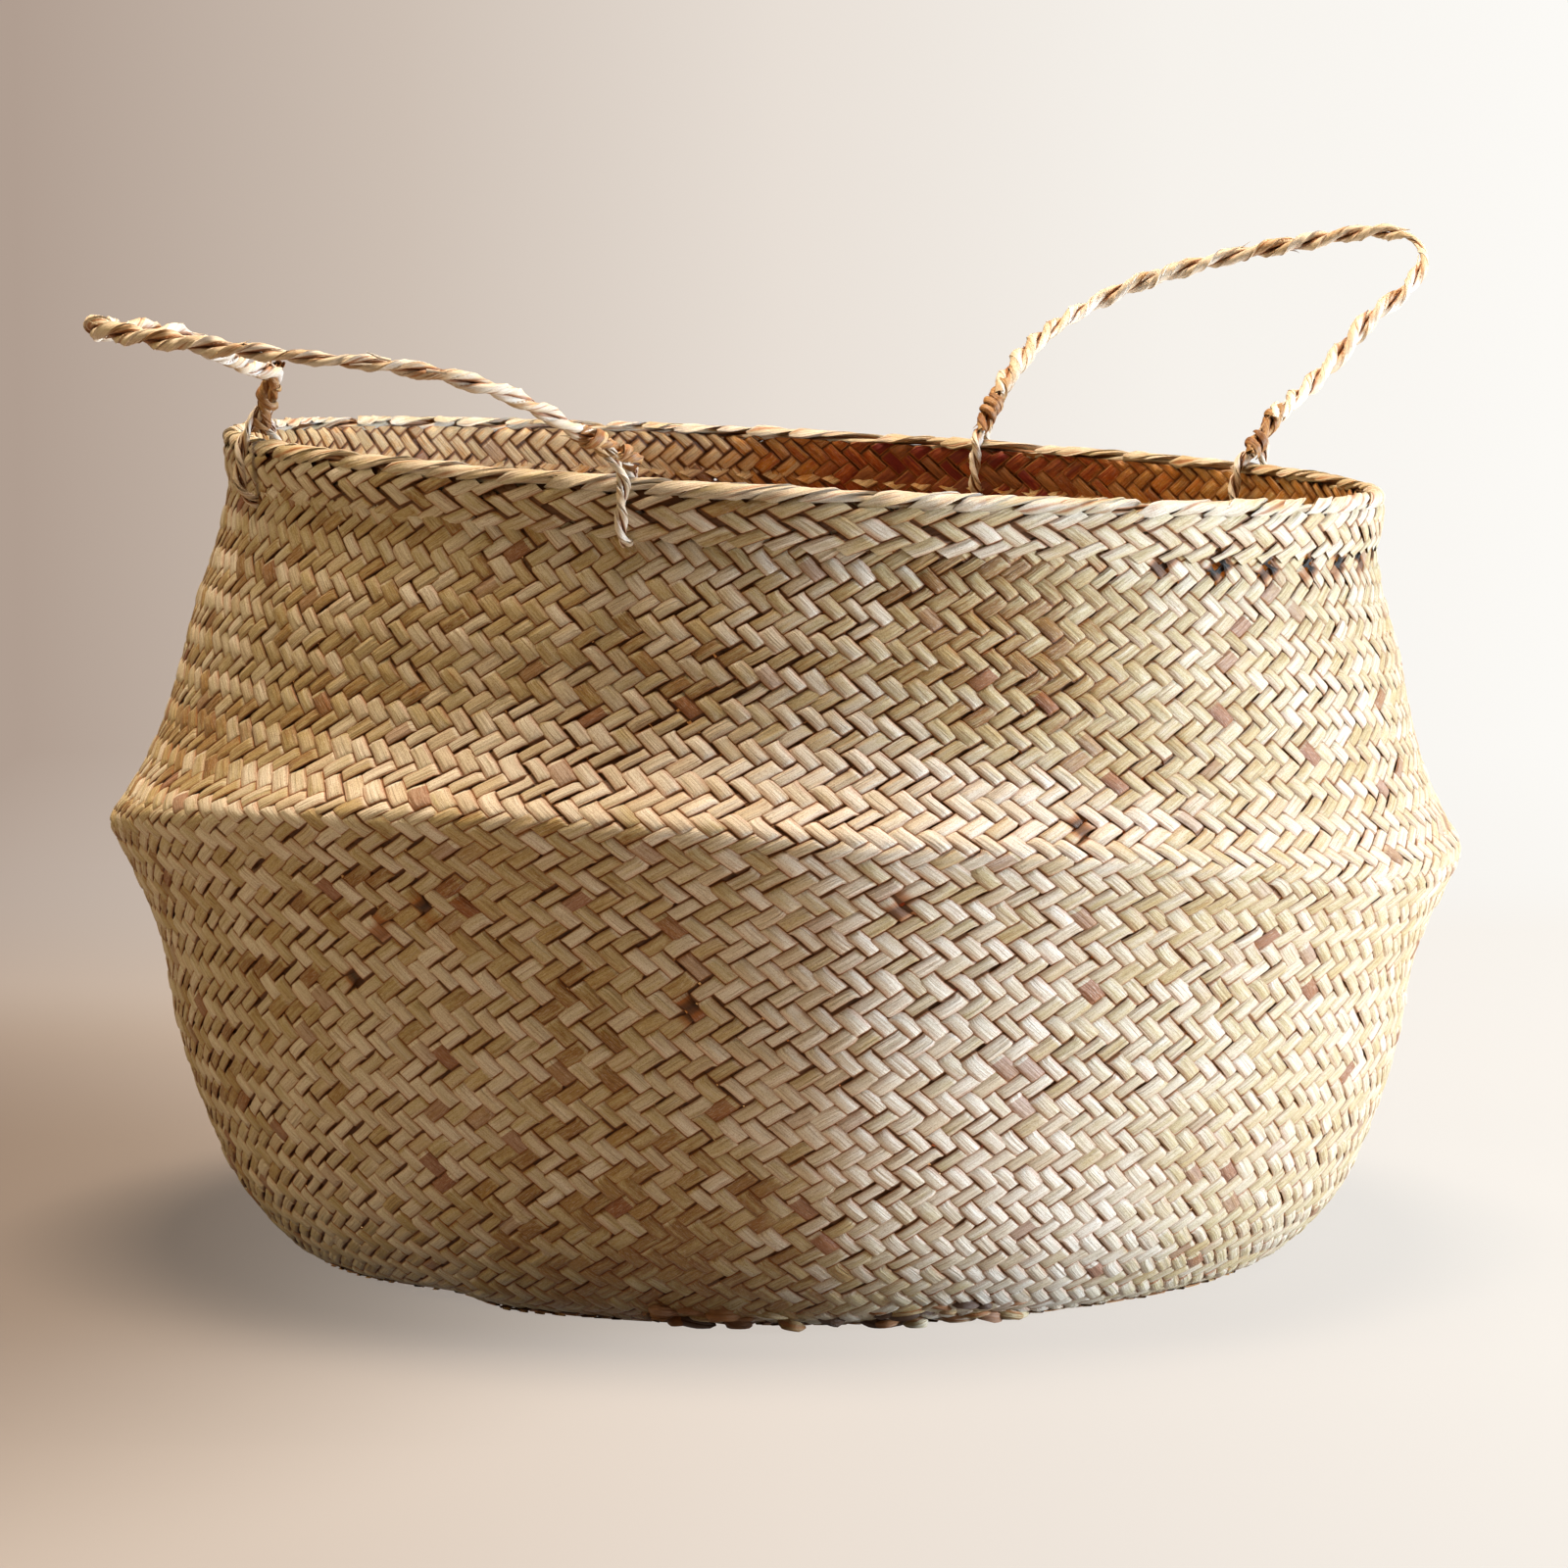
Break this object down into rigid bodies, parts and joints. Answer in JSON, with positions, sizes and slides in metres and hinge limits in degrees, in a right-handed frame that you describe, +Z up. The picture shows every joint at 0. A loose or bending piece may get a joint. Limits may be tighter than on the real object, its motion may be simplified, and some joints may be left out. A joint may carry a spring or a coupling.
{
  "type": "plaited seagrass belly basket",
  "caption": "Open round basket plaited on the bias from flat seagrass, with a creased belly, a folded rim band and a twisted rope handle on each side.",
  "frame": {"origin": "middle of the underside of the base mat, on the floor plane", "axes": "+Z up, -Y towards the front of the basket, +X towards its right side as seen from the front"},
  "size_m": [0.4568, 0.4645, 0.3323],
  "materials": {
    "plaited_seagrass": "matte dried seagrass strips, plaited",
    "rim_seagrass": "matte dried seagrass strips, long strands",
    "rope_seagrass": "matte twisted seagrass rope",
    "splice_seagrass": "matte dark frayed seagrass ends"
  },
  "bodies": {
    "basket": {"base_mat": "plaited_seagrass", "lower_wall": "plaited_seagrass", "upper_wall": "plaited_seagrass", "rim_band": "rim_seagrass", "border_twist": "rim_seagrass"},
    "left_handle": {"left_rear_eye": "rope_seagrass", "left_rear_splice": "splice_seagrass", "left_front_eye": "rope_seagrass", "left_front_splice": "splice_seagrass", "left_rope": "rope_seagrass"},
    "right_handle": {"right_rear_eye": "rope_seagrass", "right_rear_splice": "splice_seagrass", "right_front_eye": "rope_seagrass", "right_front_splice": "splice_seagrass", "right_rope": "rope_seagrass"}
  },
  "joints": [
    {"name": "left_handle_swing", "type": "hinge", "parent": "basket", "child": "left_handle", "pos_m": [-0.10792, -0.12618, 0.2545], "axis": [0.7455, -0.6654, -0.0391], "range_deg": [-150, 75]},
    {"name": "right_handle_swing", "type": "hinge", "parent": "basket", "child": "right_handle", "pos_m": [0.11419, 0.14015, 0.24286], "axis": [-0.7873, 0.6151, 0.0413], "range_deg": [-140, 85]}
  ]
}
